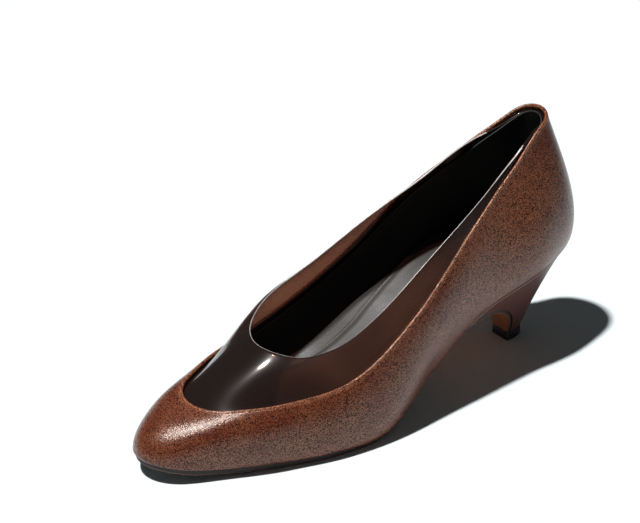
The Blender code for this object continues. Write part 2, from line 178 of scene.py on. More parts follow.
# Inner corner of the upper, which takes the place of the wall's lowest rows
INNER_CORNER_INSET = 0.5
INNER_CORNER_LIFT = 0.7
INNER_CORNER_ROWS = 3

# Distance below the top edge given to the leather under the shoe and inside it, past the fold's lighter band
# of wear and painted highlight
UNDER_BELOW = 60.0
INSIDE_BELOW = 6.0

# The lining ends this far below the sock's edge, and leaves its drop at the back within this share
LINING_LAP = 1.2
LINING_EASE = 0.15

# Sock: its level over the sole line, its gap inside the insole's edge, and the outward slope of its climb
SOCK_LEVEL = INSOLE_LIFT + INSOLE_THICKNESS + 0.2
SOCK_CLEARANCE = 0.5
WALL_FLARE = 0.26

# Width of the bowl beside the climbing edge, its power, and the sharper turn's width and share of the climb
SOCK_BOWL = 45.0
SOCK_BOWL_POWER = 1.74
SOCK_TURN = 2.0
SOCK_TURN_SHARE = 0.05

# The sock starts and ends this far from the back and the toe, as an angle round the sole line
SOCK_END_ANGLE = 0.12

# Share of the arch rise that the sock's inner edge climbs, along the shoe
Climb = namedtuple("Climb", "x share")
SOCK_CLIMB = (
    Climb(x=0.0, share=0.0),
    Climb(x=25.0, share=0.2),
    Climb(x=50.0, share=0.5),
    Climb(x=80.0, share=0.76),
    Climb(x=108.0, share=1.0),
    Climb(x=140.0, share=0.62),
    Climb(x=180.0, share=0.0),
    Climb(x=240.0, share=0.0),
)

# Climb of the outer edge as a share of the inner one's, and how fast both grow away from the ends
OUTER_CLIMB = 0.08
CLIMB_TURN = 3.0

# Fold in the sock beside its turned up side: how far from the edge it runs and how deep it is
Groove = namedtuple("Groove", "x from_edge depth")
SOCK_GROOVE = (
    Groove(x=84.0, from_edge=0.0, depth=0.0),
    Groove(x=92.0, from_edge=0.8, depth=0.25),
    Groove(x=101.0, from_edge=2.6, depth=0.4),
    Groove(x=112.0, from_edge=5.0, depth=0.4),
    Groove(x=122.0, from_edge=5.4, depth=0.35),
    Groove(x=136.0, from_edge=4.6, depth=0.2),
    Groove(x=160.0, from_edge=3.0, depth=0.0),
)

# Width of the fold's fading side and of its steep one
SOCK_FOLD = 2.5
FOLD_SLOPE = 0.5

# Drop of the sock at its edge, the width over which it comes up, and the climb from which this is full
SOCK_PAD = 1.0
PAD_SLOPE = 4.0
PAD_FULL_RISE = 6.0

# Low cushion under the heel: height, front end, length of its front slope and width of its side slopes
HEEL_CUSHION = 2.5
CUSHION_FRONT = 115.0
CUSHION_SLOPE = 50.0
CUSHION_SIDE = 14.0

# Outsole: height of its lower face and how far its edge sits inside the sole line
Tread = namedtuple("Tread", "x lower inset")
OUTSOLE = (
    Tread(x=79.0, lower=29.4, inset=2.0),
    Tread(x=104.0, lower=16.6, inset=3.4),
    Tread(x=122.0, lower=7.0, inset=2.6),
    Tread(x=133.0, lower=1.5, inset=1.7),
    Tread(x=141.0, lower=0.0, inset=1.3),
    Tread(x=186.0, lower=0.0, inset=1.2),
    Tread(x=204.0, lower=0.9, inset=1.2),
    Tread(x=222.0, lower=3.2, inset=1.2),
    Tread(x=238.0, lower=7.2, inset=1.2),
)

# Outer face of the flap down the front of the heel, seen from the side, and the flap's sizes along it
BREAST = np.array([(79.0, 29.4), (66.8, 33.0), (38.1, 25.9), (36.9, 4.8)])
Flap = namedtuple("Flap", "at thick outer inner")
FLAP = (
    Flap(at=0.00, thick=2.4, outer=25.1, inner=19.0),
    Flap(at=0.25, thick=2.1, outer=22.4, inner=18.0),
    Flap(at=0.50, thick=1.9, outer=17.4, inner=14.8),
    Flap(at=0.75, thick=1.7, outer=11.8, inner=10.8),
    Flap(at=1.00, thick=1.5, outer=5.4, inner=5.4),
)

# Foot of the heel, a flat front with a round back
TIP_FRONT = 36.9
TIP_BACK = 25.2
TIP_HALF_WIDTH = 5.4
TIP_STRAIGHT = 2.5
TIP_ROUND_SHARE = 0.6

# Top piece: rounding of its rims, the bend up to which it counts as flat, and the bend that makes a rim
TOP_PIECE_BEVEL = 0.35
FLAT_ANGLE = math.radians(0.2)
RIM_ANGLE = math.radians(60)

# Front, bottom and half width of the block that cuts the heel's breast
CUTTER_FRONT = 130.0
CUTTER_BOTTOM = -10.0
CUTTER_HALF_WIDTH = 60.0

# Turned rim of the heel's cover: sides of its round section, and its drop below the seat in radii
RIM_SIDES = 8
RIM_DROP = 1.2

# Fineness of the visible pieces
AROUND = 360
WALL_STEPS = 60
WALL_ROWS = 30
FILM_ROWS = 24
LAP_ROWS = 5
LINING_ROWS = 24
ROLL_STEPS = 8
SOCK_ROWS = 160
SOCK_COLUMNS = 90
SOCK_CROWDING = 1.6
SOCK_END_STEPS = 12
SOLE_ANGLES = 200
SOLE_SIDE_STEPS = 3
SOLE_CORNER_STEPS = 3
SOLE_TREAD_STEPS = 8
BREAST_STEPS = 40
HEEL_SIDE_POINTS = 40
HEEL_LEVELS = 20

# Points closer than this are merged, in millimetres
MERGE = 0.001

# Rounds of evening for the film's normals
NORMAL_ROUNDS = 4

# Smooth leathers: share of colour left in the pores, pore size in millimetres, roughness, depth in metres
Finish = namedtuple("Finish", "dark_share cell roughness depth")
FINISHES = {
    "lining_leather": Finish(dark_share=0.6, cell=0.8, roughness=0.55, depth=0.00005),
    "sock_leather": Finish(dark_share=0.55, cell=0.9, roughness=0.48, depth=0.00028),
    "stained_sole_edge": Finish(dark_share=0.6, cell=0.6, roughness=0.6, depth=0.00004),
    # Paler corner of the sole: worn bare leather with a painted highlight
    "bare_sole_corner": Finish(dark_share=0.7, cell=0.6, roughness=0.6, depth=0.00004),
    "heel_cover_leather": Finish(dark_share=0.5, cell=0.9, roughness=0.4, depth=0.00006),
    # The heel rim's pale colour is a painted highlight
    "turned_rim_leather": Finish(dark_share=0.7, cell=0.6, roughness=0.35, depth=0.00003),
}

# How far the clouds in these leathers move the roughness up and down
CLOUDED = 0.07

# Width of the upper's pebbles in millimetres
PEBBLE = 0.49

# Share of lighter colour on the top edge's fold, partly wear and partly a painted highlight where the fold
# catches light, down to where it is full and down to where it ends
LIP_SHARE = 0.85
LIP_WEAR_AND_HIGHLIGHT_FULL = 0.4
LIP_WEAR_AND_HIGHLIGHT_END = 3.6

# The tread turns from bare to worn between these places along the shoe, in metres
WORN_START = -0.045
WORN_END = -0.015

# Share of lighter colour high on the outer quarter, a rubbed smudge that is partly painted light, its
# middle, and how far it is full and reaches, in metres
LIT_SMUDGE_SHARE = 0.55
LIT_SMUDGE_MIDDLE = (-0.064, 0.045, 0.095)
LIT_SMUDGE_FULL = 0.02
LIT_SMUDGE_REACH = 0.055

# Middle of the floor that the picture shows, how far it stays pale and where it is grey, in metres; the grey
# beyond is painted shade standing in for the edge of a pool of light
FLOOR_MIDDLE = (-0.06, -0.11, 0.0)
FLOOR_PALE = 0.37
FLOOR_GREY = 0.48
FLOOR_HALF_SIZE = 4.0

# Point that the main light looks at, and how far the camera sees, in metres
KEY_TARGET = (0.0, 0.0, 0.04)
CAMERA_REACH = 20.0

# The part's origin seen from the tables' own, taken from the top piece's place in the frame
tip_low, tip_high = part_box("top_piece")
SHIFT = np.array([tip_low.x / MM - TIP_BACK, (tip_low.y + tip_high.y) / 2 / MM, 0.0])


def linear_colour(code):
    """Linear colour of an sRGB hex code."""
    shares = [int(code[k:k + 2], 16) / 255 for k in (1, 3, 5)]
    return tuple(s / 12.92 if s <= 0.04045 else ((s + 0.055) / 1.055) ** 2.4 for s in shares)


def colour_property(name, description, code):
    """Colour setting with its default given as an sRGB hex code."""
    return FloatVectorProperty(
        name=name, description=description, subtype="COLOR", size=3, min=0.0, max=1.0,
        default=linear_colour(code),
    )


def length_property(name, description, millimetres):
    """Length setting, stored in metres."""
    return FloatProperty(
        name=name, description=description, subtype="DISTANCE", unit="LENGTH", precision=5,
        default=millimetres * MM,
    )


class PumpSizes(bpy.types.PropertyGroup):
    """Sizes of the sewn and folded details."""

    lip_bulge: length_property("Lip bulge", "How far the folded top edge stands out", 0.2)
    stitch_below: length_property("Stitch line", "Distance of the stitches below the top edge", 1.4)
    stitch_pitch: length_property("Stitch pitch", "Distance from one stitch to the next", 1.8)
    stitch_length: length_property("Stitch length", "Length of one stitch", 1.05)
    stitch_thickness: length_property("Thread", "Thickness of the thread", 0.34)
    groove_depth: length_property("Stitch groove", "How deep the thread pulls the leather in", 0.18)
    lining_drop: length_property("Lining drop", "Top of the lining below the leather's edge", 2.2)
    lining_drop_back: length_property("Lining drop, back", "The same at the back of the heel", 1.8)
    lining_wall: length_property("Lining", "Thickness of the lining", 0.7)
    sock_arch_rise: length_property("Arch rise", "How far the sock climbs the inner side", 15.4)
    heel_rim_radius: length_property("Heel rim", "Radius of the heel cover's turned rim", 0.32)


class PumpColours(bpy.types.PropertyGroup):
    """Colours of the materials."""

    leather: colour_property("Leather", "Pebbles of the leather's grain", "#86452F")
    leather_warm: colour_property("Leather, warm", "Pebbles in the warmer patches", "#965739")
    leather_dark: colour_property("Leather, dark", "Valleys between the pebbles", "#30110A")
    # Lighter colour of the worn fold and of the quarter's smudge, partly painted highlight and painted light
    lip: colour_property("Lip", "Rubbed fold at the top edge and rubbed quarter", "#C87E57")
    film: colour_property("Film", "Tint of the see-through inset", "#774A37")
    film_slanted: colour_property("Film, slanted", "The same tint through a long slanting way", "#1C0A08")
    film_haze: colour_property("Film haze", "Milkiness of the see-through inset", "#1F1715")
    lining: colour_property("Lining", "Lining leather", "#242322")
    sock: colour_property("Sock", "Leather of the sock", "#3B3531")
    sole_edge: colour_property("Sole edge", "Stained edge of the sole", "#281E1B")
    # Paler corner of the sole: worn bare leather and a painted highlight where the corner catches light
    sole_corner_worn_and_lit: colour_property("Sole line", "Bare corner of the sole", "#6E4C3E")
    # Pale colour that paints in the highlight along the heel cover's turned rim
    rim: colour_property("Heel rim", "Turned rim of the heel's cover", "#B4958A")
    sole_worn: colour_property("Worn tread", "Tread under the forefoot", "#4A4441")
    sole: colour_property("Sole", "Sole leather underneath", "#9C5630")
    heel: colour_property("Heel", "Leather of the heel cover", "#5E3830")
    rubber: colour_property("Rubber", "Top piece", "#151414")
    thread: colour_property("Thread", "Stitching", "#3A2018")
    floor: colour_property("Floor", "Studio floor under the shoe", "#ECF4F6")
    # Painted shade on the floor outside the pool of light
    floor_painted_shade: colour_property("Floor, far", "Studio floor well outside the picture", "#747474")


class PumpStudio(bpy.types.PropertyGroup):
    """Camera and light."""

    camera_place: FloatVectorProperty(
        name="Camera", description="Where the camera stands", subtype="XYZ", unit="LENGTH",
        default=(0.74562, 0.95995, 0.74761),
    )
    camera_aim: FloatVectorProperty(
        name="Aim", description="Point in the middle of the picture", subtype="XYZ", unit="LENGTH",
        default=(0.00674, -0.02175, 0.06294),
    )
    camera_roll: FloatProperty(
        name="Roll", description="Tilt of the camera to the right", subtype="ANGLE", unit="ROTATION",
        default=math.radians(1.07),
    )
    lens: FloatProperty(
        name="Lens", description="Focal length in millimetres on a 36 mm sensor", default=174.69, min=1.0,
    )
    key_direction: FloatVectorProperty(
        name="Key light", description="Direction from the shoe to the main light", subtype="DIRECTION",
        default=(0.28, -0.10, 1.0),
    )
    key_width: FloatProperty(
        name="Key width", description="How wide the main light looks from the shoe", subtype="ANGLE",
        unit="ROTATION", default=math.radians(3.0),
    )
    key_strength: FloatProperty(
        name="Key strength", description="Light that falls square on a surface, in watts per square metre",
        default=3.8,
    )
    fill: FloatProperty(name="Fill", description="Brightness of the studio round the shoe", default=0.041)
    fill_colour: FloatVectorProperty(
        name="Fill colour", description="Cool light that fills the shadows", subtype="COLOR", size=3,
        min=0.0, default=(0.82, 1.0, 1.03),
    )


def smooth(stations, values, at):
    """Value at the places asked for, on a smooth curve through the stations."""
    stations = np.asarray(stations, float)
    values = np.asarray(values, float)
    slopes = np.gradient(values, stations)
    left = np.clip(np.searchsorted(stations, at) - 1, 0, len(stations) - 2)
    step = stations[left + 1] - stations[left]
    w = (at - stations[left]) / step
    start = (1 + 2 * w) * (1 - w) ** 2 * values[left] + w * (1 - w) ** 2 * step * slopes[left]
    end = w * w * (3 - 2 * w) * values[left + 1] + w * w * (w - 1) * step * slopes[left + 1]
    return start + end


def column(rows, name):
    """One named column of a table."""
    return [getattr(row, name) for row in rows]


def turn_angles(count):
    """Angles round the shoe: 0 at the heel's back, half a turn at the toe, outer side first."""
    return np.arange(count) * 2 * math.pi / count


def length_share(angles):
    """Share of a line's length at each angle, 0 at the back and 1 at the toe."""
    return (1 - np.cos(angles)) / 2


def line_points(line, angles):
    """Points of a line round the shoe. Equal angles on the two sides lie at the same X."""
    share = length_share(angles)
    length = line.front - line.back
    along = np.array(column(line.stations, "along"))
    swell = 2 * np.sqrt(along * (1 - along))
    places = np.r_[0, along, 1]
    back_width = math.sqrt(line.back_radius * length / 2)
    front_width = math.sqrt(line.front_radius * length / 2)
    sides = {}
    heights = {}
    for side in ("outer", "inner"):
        widths = np.array(column(line.stations, side)) / swell
        sides[side] = smooth(places, np.r_[back_width, widths, front_width], share) * np.sin(angles)
        levels = column(line.stations, side + "_height")
        heights[side] = smooth(places, np.r_[line.back_height, levels, line.front_height], share)
    on_outer = np.sin(angles) >= 0
    y = np.where(on_outer, sides["outer"], sides["inner"])
    y = y + line.swing * np.clip((share - SWING_START) / (1 - SWING_START), 0, 1) ** 2
    z = np.where(on_outer, heights["outer"], heights["inner"])
    return np.stack([line.back + length * share, y, z], axis=-1)


def plan_normals(points):
    """Outward normals of a closed line, seen from above."""
    tangent = np.roll(points, -1, axis=0) - np.roll(points, 1, axis=0)
    normals = np.stack([-tangent[:, 1], tangent[:, 0], 0 * tangent[:, 0]], axis=-1)
    normals /= np.linalg.norm(normals, axis=1, keepdims=True)
    outward = np.sum((points - points.mean(axis=0)) * normals) > 0
    return normals if outward else -normals


def bezier(points, at):
    """Points of a cubic Bezier curve. Each of its four control points may be a whole line."""
    at = np.asarray(at).reshape((-1,) + (1,) * np.ndim(points[0]))
    weights = ((1 - at) ** 3, 3 * at * (1 - at) ** 2, 3 * at ** 2 * (1 - at), at ** 3)
    return sum(weight * point for weight, point in zip(weights, points))


def leaning(normals, degrees, outward):
    """Directions that rise from the floor and lean outward or inward by an angle."""
    angle = np.radians(degrees)[:, None]
    return np.array([0, 0, 1]) * np.cos(angle) + outward * normals * np.sin(angle)


def bend(angles, name):
    """One column of the wall's bends, at each angle round the shoe."""
    return smooth(column(WALL_BENDS, "along"), column(WALL_BENDS, name), length_share(angles))


def bend_arm(chord, normals, direction, reach):
    """Arm of a wall's bend: its direction, with the chord's own slide along the shoe."""
    side = np.stack([-normals[:, 1], normals[:, 0], 0 * normals[:, 0]], axis=-1)
    slide = np.sum(chord * side, axis=1, keepdims=True) * side
    climb = np.linalg.norm(chord - slide, axis=1, keepdims=True)
    return np.reshape(reach, (-1, 1)) * (climb * direction + slide)


def wall_rows(angles):
    """Outer face of the leather wall, as rows of points from the sole line to the leather edge."""
    sole = line_points(SOLE_LINE, angles)
    edge = line_points(LEATHER_EDGE, angles)
    sole_normals = plan_normals(sole)
    edge_normals = plan_normals(edge)
    rise = leaning(sole_normals, bend(angles, "flare"), 1)
    arrive = leaning(edge_normals, bend(angles, "edge_lean"), -1)
    low = sole + bend_arm(edge - sole, sole_normals, rise, bend(angles, "low"))
    high = edge - bend_arm(edge - sole, edge_normals, arrive, bend(angles, "high"))
    return bezier((sole, low, high, edge), np.linspace(0, 1, WALL_STEPS + 1))


def surface_normals(rows):
    """Outward normals of a surface given as closed rows."""
    around = np.roll(rows, -1, axis=1) - np.roll(rows, 1, axis=1)
    upward = np.gradient(rows, axis=0)
    normals = np.cross(around, upward)
    normals /= np.linalg.norm(normals, axis=2, keepdims=True)
    outward = np.sum((rows - rows.mean(axis=(0, 1))) * normals) > 0
    return normals if outward else -normals


def inside(rows, distance):
    """The same rows moved inward along the normals of their surface."""
    return rows - distance * surface_normals(rows)


def evened(normals, rounds):
    """Normals evened out from row to row, so that an inner face does not fold over at a bend."""
    for _ in range(rounds):
        padded = np.concatenate([normals[:1], normals, normals[-1:]])
        normals = unit(padded[:-2] + 2 * padded[1:-1] + padded[2:])
    return normals


def lengths_down(rows):
    """Distance of each row's points from the last row, measured down the surface."""
    steps = np.linalg.norm(np.diff(rows[::-1], axis=0), axis=2)
    return np.cumsum(np.concatenate([np.zeros_like(steps[:1]), steps]), axis=0)[::-1]


def below_edge(rows, distances):
    """Rows of points at distances down the surface from its last row, one distance for each point."""
    run = lengths_down(rows)[::-1]
    down = rows[::-1]
    found = np.empty(distances.shape + (3,))
    for k in range(rows.shape[1]):
        for axis in range(3):
            found[:, k, axis] = np.interp(distances[:, k], run[:, k], down[:, k, axis])
    return found


def seat_height(x):
    """Height of the sole line at a distance from the back."""
    line = SOLE_LINE
    share = (x - line.back) / (line.front - line.back)
    places = np.r_[0, column(line.stations, "along"), 1]
    levels = np.r_[line.back_height, column(line.stations, "outer_height"), line.front_height]
    return smooth(places, levels, np.clip(share, 0, 1))


def inset_sole_line(angles, inset, lift):
    """The sole line moved inward in plan and lifted off the bottom of the foot."""
    points = line_points(SOLE_LINE, angles)
    points = points - inset * plan_normals(points)
    points[:, 2] = seat_height(points[:, 0]) + lift
    return points


def sock_edge_lift(angles, sizes):
    """Height of the sock's edge above the sole line: it climbs the inner side at the arch."""
    x = line_points(SOLE_LINE, angles)[:, 0]
    places = column(SOCK_CLIMB, "x")
    climb = smooth(places, column(SOCK_CLIMB, "share"), np.clip(x, places[0], places[-1]))
    on_inner = np.clip(-np.sin(angles) * CLIMB_TURN, 0, 1)
    on_outer = np.clip(np.sin(angles) * CLIMB_TURN, 0, 1)
    return SOCK_LEVEL + sizes.sock_arch_rise / MM * climb * (on_inner + OUTER_CLIMB * on_outer)


def angle_at(x):
    """Angle round the sole line at a distance from the back, on the outer side."""
    share = (x - SOLE_LINE.back) / (SOLE_LINE.front - SOLE_LINE.back)
    return math.acos(1 - 2 * share)


def roll_over(low, normals, upward, thickness, height):
    """Rows of a rounded edge of a height, from the outer face over to the inner one."""
    rows = []
    for turn in np.linspace(0, math.pi, ROLL_STEPS + 1):
        across = thickness / 2 * (1 - math.cos(turn))
        rows.append(low - across * normals + height * math.sin(turn) * upward)
    return np.array(rows)


def soft_step(share):
    """Smooth step from 0 to 1 as the share goes from 0 to 1."""
    share = np.clip(share, 0, 1)
    return share * share * (3 - 2 * share)


def unit(vectors):
    """The vectors, each of length one."""
    return vectors / np.linalg.norm(vectors, axis=-1, keepdims=True)


def bump_at(distances, middle, width):
    """Soft bump of height one round a distance."""
    return np.exp(-((distances - middle) / width) ** 2)


def wrapped_grid(rows, close_rows):
    """Mesh of a grid laid over rows of points. Each row is closed, and so is the section if asked."""
    row_count, column_count = rows.shape[:2]
    bm = bmesh.new()
    bm.loops.layers.uv.new("UVMap")
    segments = row_count if close_rows else row_count - 1
    bmesh.ops.create_grid(bm, x_segments=column_count, y_segments=segments, size=0.5, calc_uvs=True)
    tag = bm.verts.layers.int.new("row")
    for vert in bm.verts:
        across = round((vert.co.x + 0.5) * column_count) % column_count
        row = round((vert.co.y + 0.5) * segments) % row_count
        vert.co = rows[row, across]
        vert[tag] = row
    return bm


def close_ends(bm):
    """Merges the seam of a mesh in millimetres and fills its open ends."""
    bmesh.ops.remove_doubles(bm, verts=bm.verts, dist=MERGE)
    open_edges = [edge for edge in bm.edges if edge.is_boundary]
    bmesh.ops.holes_fill(bm, edges=open_edges, sides=0)


def finish_mesh(bm):
    """Merges the seams of a mesh in millimetres, turns its faces outward and puts it in the frame."""
    bmesh.ops.remove_doubles(bm, verts=bm.verts, dist=MERGE)
    bmesh.ops.recalc_face_normals(bm, faces=bm.faces)
    bmesh.ops.translate(bm, vec=SHIFT, verts=bm.verts)
    bmesh.ops.scale(bm, vec=(MM, MM, MM), verts=bm.verts)


def new_vertices(extruded):
    """Vertices that an extrusion made."""
    return [item for item in extruded["geom"] if isinstance(item, bmesh.types.BMVert)]


def add_object(name, data):
    """New object in the scene."""
    item = bpy.data.objects.new(name, data)
    bpy.context.scene.collection.objects.link(item)
    return item


def add_mesh_object(name, bm):
    """New object of a mesh, which it uses up."""
    mesh = bpy.data.meshes.new(name)
    bm.to_mesh(mesh)
    bm.free()
    return add_object(name, mesh)


def add_piece(name, bm, materials, sharp_degrees=40.0):
    """Piece of the shoe from a mesh in millimetres, riding on the shoe's body."""
    finish_mesh(bm)
    piece = add_mesh_object(name, bm)
    piece.data.shade_smooth()
    piece.data.set_sharp_from_angle(angle=math.radians(sharp_degrees))
    for material in materials:
        piece.data.materials.append(material)
    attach(piece, BODY)
    return piece


def store_distance(bm, distances):
    """Keeps a distance in millimetres for each row's points, for the materials."""
    layer = bm.verts.layers.float.new("below_edge")
    tag = bm.verts.layers.int["row"]
    for vert in bm.verts:
        vert[layer] = distances[vert[tag]]


def new_material(name):
    """Node material with its surface shader, and the place on the piece that its textures follow."""
    material = bpy.data.materials.new(name)
    material.use_nodes = True
    tree = material.node_tree
    place = add_node(tree, "ShaderNodeTexCoord", {}).outputs["Object"]
    return material, tree, tree.nodes["Principled BSDF"], place


def add_node(tree, kind, inputs, **settings):
    """Adds a node, sets it up and feeds its inputs with values or with other nodes' outputs."""
    node = tree.nodes.new(kind)
    for name, value in settings.items():
        setattr(node, name, value)
    feed(tree, node, inputs)
    return node


def feed(tree, node, inputs):
    """Gives inputs of a node their values or links."""
    for name, value in inputs.items():
        if isinstance(value, bpy.types.NodeSocket):
            tree.links.new(value, node.inputs[name])
        else:
            node.inputs[name].default_value = value


def per_metre(millimetres):
    """Texture scale that gives features of a real size."""
    return 1 / (millimetres * MM)


def opaque(colour):
    """Colour with full alpha."""
    return (*colour, 1.0)


def span(tree, value, first, last, start=0.0, end=1.0, soft=False):
    """Goes from first to last as the value goes from start to end, along a smooth step if asked."""
    return add_node(
        tree, "ShaderNodeMapRange",
        {"Value": value, "From Min": start, "From Max": end, "To Min": first, "To Max": last},
        interpolation_type="SMOOTHSTEP" if soft else "LINEAR",
    ).outputs["Result"]


def mix(tree, share, first, second):
    """Colour between two colours."""
    return add_node(
        tree, "ShaderNodeMix", {"Factor": share, "A": first, "B": second}, data_type="RGBA",
    ).outputs["Result"]


def reckon(tree, operation, *values):
    """Result of an arithmetic node."""
    return add_node(tree, "ShaderNodeMath", dict(enumerate(values)), operation=operation).outputs["Value"]


def distance_from(tree, place, middle):
    """Distance of a place from a point."""
    return add_node(
        tree, "ShaderNodeVectorMath", {0: place, 1: middle}, operation="DISTANCE",
    ).outputs["Value"]


def noise(tree, place, size, detail, roughness=0.5, output="Fac"):
    """Noise with features of a size in millimetres."""
    return add_node(
        tree, "ShaderNodeTexNoise",
        {"Vector": place, "Scale": per_metre(size), "Detail": detail, "Roughness": roughness},
    ).outputs[output]


def relief(tree, height, strength, depth):
    """Normals of a surface with a relief of a depth in metres."""
    return add_node(
        tree, "ShaderNodeBump", {"Height": height, "Strength": strength, "Distance": depth},
    ).outputs["Normal"]


def make_pebbled_leather(colours):
    """Glazed goat leather: uneven glossy brown pebbles half a millimetre wide in dull, dark valleys."""
    material, tree, shader, place = new_material("pebbled_leather")
    drift = noise(tree, place, size=3.0, detail=2.0, output="Color")
    bent = add_node(
        tree, "ShaderNodeVectorMath", {0: drift, 1: (MM, MM, MM), 2: place}, operation="MULTIPLY_ADD",
    ).outputs["Vector"]
    cells = add_node(tree, "ShaderNodeTexVoronoi", {"Vector": bent, "Scale": per_metre(PEBBLE)})
    luck = add_node(tree, "ShaderNodeSeparateColor", {"Color": cells.outputs["Color"]}).outputs["Red"]
    dome = span(tree, cells.outputs["Distance"], 1.0, 0.0, start=0.1, end=0.75, soft=True)
    height = reckon(tree, "MULTIPLY_ADD", luck, 0.5, dome)
    pebble = span(tree, height, 0.0, 1.0, start=0.15, end=1.1, soft=True)
    broad = noise(tree, place, size=16.0, detail=3.0)
    patches = span(tree, broad, 0.0, 1.0, start=0.35, end=0.65)
    ridges = mix(tree, patches, opaque(colours.leather), opaque(colours.leather_warm))
    # Painted light: a lighter patch high on the outer quarter stands in for light there, over a rubbed
    # smudge
    away = distance_from(tree, place, LIT_SMUDGE_MIDDLE)
    lit_smudge = span(tree, away, LIT_SMUDGE_SHARE, 0.0, start=LIT_SMUDGE_FULL, end=LIT_SMUDGE_REACH, soft=True)
    # Lighter band along the top edge's fold: wear, with a painted highlight where the fold catches light
    below = add_node(tree, "ShaderNodeAttribute", {}, attribute_name="below_edge").outputs["Fac"]
    lip = span(tree, below, LIP_SHARE, 0.0, start=LIP_WEAR_AND_HIGHLIGHT_FULL, end=LIP_WEAR_AND_HIGHLIGHT_END, soft=True)
    wear_and_light = reckon(tree, "MAXIMUM", lit_smudge, lip)
    retinted = mix(tree, wear_and_light, ridges, opaque(colours.lip))
    feed(tree, shader, {
        "Base Color": mix(tree, pebble, opaque(colours.leather_dark), retinted),
        "Roughness": span(tree, pebble, 0.3, 0.2), "IOR": 1.5,
        "Normal": relief(tree, height, strength=0.2, depth=0.00025),
        "Specular IOR Level": span(tree, pebble, 0.08, 0.85), "Specular Tint": (1.0, 0.8, 0.66, 1.0),
        "Coat Weight": 0.36, "Coat Roughness": 0.34, "Coat IOR": 1.5,
    })
    return material


def make_smoked_vinyl(colours):
    """Soft vinyl film, tinted brown: glossy, a little milky, dark over the inside, amber against white."""
    material, tree, shader, place = new_material("smoked_vinyl")
    swell = noise(tree, place, size=18.0, detail=1.0)
    waves = relief(tree, swell, strength=0.25, depth=0.0008)
    dust = noise(tree, place, size=6.0, detail=4.0)
    feed(tree, shader, {
        "Base Color": opaque(colours.film_haze), "IOR": 1.53, "Roughness": span(tree, dust, 0.04, 0.10),
        "Normal": waves, "Coat Weight": 0.1, "Coat Roughness": 0.28, "Coat Normal": waves,
    })
    # Light passes two faces of the film, so each face has the root of the tint
    square = opaque(math.sqrt(share) for share in colours.film)
    slanted = opaque(math.sqrt(share) for share in colours.film_slanted)
    slant = add_node(tree, "ShaderNodeLayerWeight", {"Blend": 0.5}).outputs["Facing"]
    clear = add_node(tree, "ShaderNodeBsdfTransparent", {"Color": mix(tree, slant, square, slanted)})
    sheet = add_node(tree, "ShaderNodeAddShader", {0: shader.outputs["BSDF"], 1: clear.outputs["BSDF"]})
    feed(tree, tree.nodes["Material Output"], {"Surface": sheet.outputs["Shader"]})
    return material


def make_vinyl_edge(colours):
    """Knife cut through the vinyl: a pale, frosted edge, its paleness partly a painted highlight for the
    light it gathers.
    """
    material, tree, shader, place = new_material("cut_vinyl_edge")
    # Pale colour: frosted cut, with a painted highlight for the light the edge gathers
    frosted_and_lit = (0.9, 0.88, 0.86)
    marks = noise(tree, place, size=2.5, detail=3.0)
    tone = mix(tree, marks, opaque(colours.film), opaque(frosted_and_lit))
    feed(tree, shader, {"Base Color": tone, "Roughness": 0.22, "IOR": 1.53})
    return material


def make_grained_leather(name, colour):
    """Smooth dyed leather: fine pores in a nearly even colour, half dull."""
    material, tree, shader, place = new_material(name)
    finish = FINISHES[name]
    pores = add_node(
        tree, "ShaderNodeTexVoronoi", {"Vector": place, "Scale": per_metre(finish.cell)},
        feature="DISTANCE_TO_EDGE",
    ).outputs["Distance"]
    clouds = noise(tree, place, size=9.0, detail=4.0)
    cloudy_pores = reckon(tree, "MULTIPLY", span(tree, pores, 1.0, 0.0, end=0.2), clouds)
    dark = tuple(share * finish.dark_share for share in colour)
    feed(tree, shader, {
        "Base Color": mix(tree, cloudy_pores, opaque(colour), opaque(dark)), "IOR": 1.48,
        "Roughness": span(tree, clouds, finish.roughness - CLOUDED, finish.roughness + CLOUDED),
        "Normal": relief(tree, pores, strength=0.4, depth=finish.depth),
    })
    return material


def make_sole_leather(colours):
    """Bare sole leather: orange brown on the heel's breast, trodden dark and dull under the forefoot."""
    material, tree, shader, place = new_material("sole_leather")
    along = add_node(tree, "ShaderNodeSeparateXYZ", {"Vector": place}).outputs["X"]
    fibres = noise(tree, place, size=4.0, detail=4.0, roughness=0.6)
    uneven = reckon(tree, "MULTIPLY_ADD", fibres, 0.02, along)
    retinted = span(tree, uneven, 0.0, 1.0, start=WORN_START, end=WORN_END, soft=True)
    feed(tree, shader, {
        "Base Color": mix(tree, retinted, opaque(colours.sole), opaque(colours.sole_worn)), "IOR": 1.48,
        "Roughness": span(tree, retinted, 0.45, 0.7), "Normal": relief(tree, fibres, strength=0.3, depth=0.0001),
    })
    return material


def make_rubber(colours):
    """Moulded rubber: dense black, dull, with a faint speckle of dust."""
    material, tree, shader, place = new_material("moulded_rubber")
    dusty = (0.02, 0.019, 0.018)
    dust = noise(tree, place, size=0.6, detail=3.0)
    feed(tree, shader, {
        "Base Color": mix(tree, dust, opaque(colours.rubber), opaque(dusty)),
        "Roughness": span(tree, dust, 0.5, 0.7), "Normal": relief(tree, dust, strength=0.2, depth=0.0001),
    })
    return material


def make_thread(colours):
    """Waxed polyester thread: dark, twisted, a little glossy."""
    material, tree, shader, place = new_material("waxed_thread")
    twist = add_node(
        tree, "ShaderNodeTexWave", {"Vector": place, "Scale": per_metre(1.6), "Distortion": 2.0},
        wave_type="BANDS", bands_direction="DIAGONAL",
    ).outputs["Fac"]
    dark = tuple(share * 0.55 for share in colours.thread)
    tone = mix(tree, twist, opaque(dark), opaque(colours.thread))
    feed(tree, shader, {"Base Color": tone, "Roughness": 0.5})
    return material


